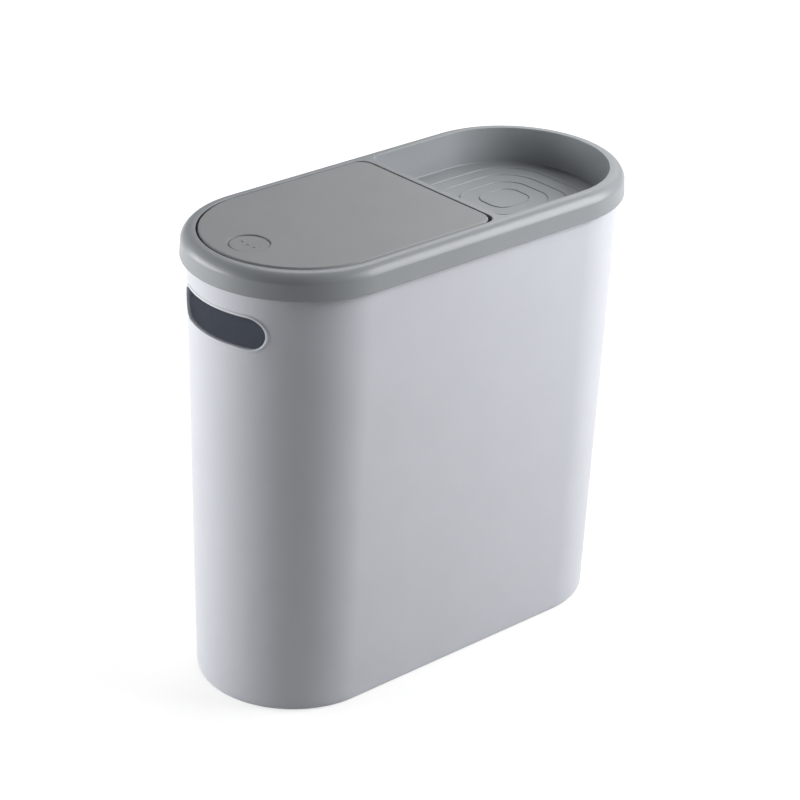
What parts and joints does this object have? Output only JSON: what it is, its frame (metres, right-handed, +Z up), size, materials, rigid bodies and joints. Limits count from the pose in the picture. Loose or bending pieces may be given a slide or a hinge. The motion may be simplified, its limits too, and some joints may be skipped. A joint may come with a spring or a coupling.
{
  "type": "push top countertop bin",
  "caption": "Slim oval push-top waste bin: tapered body with end hand slots, lift-off lid with a sprung flap and a shallow tray.",
  "frame": {"origin": "middle of the footprint, on the floor", "axes": "+X along the bin, from the flap end to the tray end; +Y across it; +Z up"},
  "size_m": [0.38, 0.17, 0.358],
  "materials": {
    "bin_plastic": "light grey satin polypropylene",
    "lid_plastic": "mid grey satin polypropylene",
    "flap_plastic": "matt grey polypropylene",
    "acetal": "natural white acetal",
    "steel": "bright drawn steel",
    "spring_steel": "drawn spring wire",
    "soft_pad": "clear grey silicone"
  },
  "bodies": {
    "bin": {"bin_body": "bin_plastic"},
    "lid": {"lid_frame": "lid_plastic", "torsion_spring_near": "spring_steel", "torsion_spring_far": "spring_steel", "latch_housing": "acetal", "latch_base_cap": "acetal", "latch_spring": "spring_steel", "latch_screws": "steel"},
    "press": {"hinge_rod": "steel", "rod_end_caps": "acetal", "latch_slider": "acetal"},
    "flap": {"flap_panel": "flap_plastic", "flap_liner": "flap_plastic", "liner_screws": "steel", "latch_striker": "acetal", "striker_screws": "steel", "flap_stop_pads": "soft_pad"},
    "follower": {"latch_follower": "spring_steel"}
  },
  "joints": [
    {"name": "lid_lift", "type": "slide", "parent": "bin", "child": "lid", "axis": [0, 0, 1], "range_m": [0, 0.06]},
    {"name": "flap_press", "type": "hinge", "parent": "lid", "child": "press", "pos_m": [0.0105, 0, 0.353], "axis": [0, 1, 0], "range_deg": [-1.2, 0], "stiffness_Nm_per_rad": 13.4, "springref_deg": 0.72, "deforming": ["latch_spring"]},
    {"name": "flap_open", "type": "hinge", "parent": "press", "child": "flap", "pos_m": [0.0105, 0, 0.353], "axis": [0, 1, 0], "range_deg": [0, 85]},
    {"name": "follower_swing", "type": "hinge", "parent": "lid", "child": "follower", "pos_m": [-0.14495, 0, 0.31507], "axis": [1, 0, 0], "range_deg": [-4.05, 0]}
  ],
  "couplings": [
    {"joint": "follower_swing", "follows": "flap_press", "ratio": 3.3333}
  ]
}
